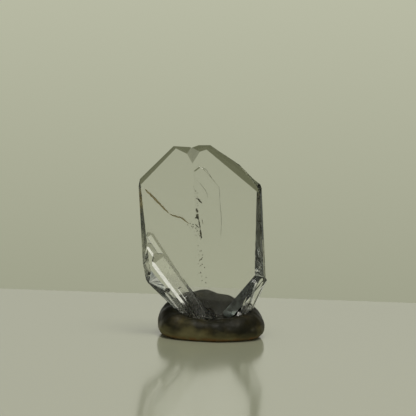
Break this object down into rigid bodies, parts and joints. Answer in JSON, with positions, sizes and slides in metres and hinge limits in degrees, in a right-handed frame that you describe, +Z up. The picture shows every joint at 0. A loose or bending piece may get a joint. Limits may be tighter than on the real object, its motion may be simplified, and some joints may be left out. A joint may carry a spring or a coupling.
{
  "type": "japan law twin quartz crystal",
  "caption": "Flat clear quartz twin with a notched top and small crystals at its foot, standing upright in a dark lump of display putty.",
  "frame": {"origin": "middle of the whole object's bounding box, on the flat underside of the putty", "axes": "+Z up, +X to the viewer's right, -Y towards the viewer, who faces the broad side of the plate"},
  "size_m": [0.0164, 0.0096, 0.0241],
  "materials": {
    "clear_quartz": "clear, with natural polished faces",
    "display_putty": "soft satin, dark olive brown"
  },
  "bodies": {
    "root": {"quartz_twin": "clear_quartz", "putty_lump": "display_putty"}
  },
  "joints": []
}
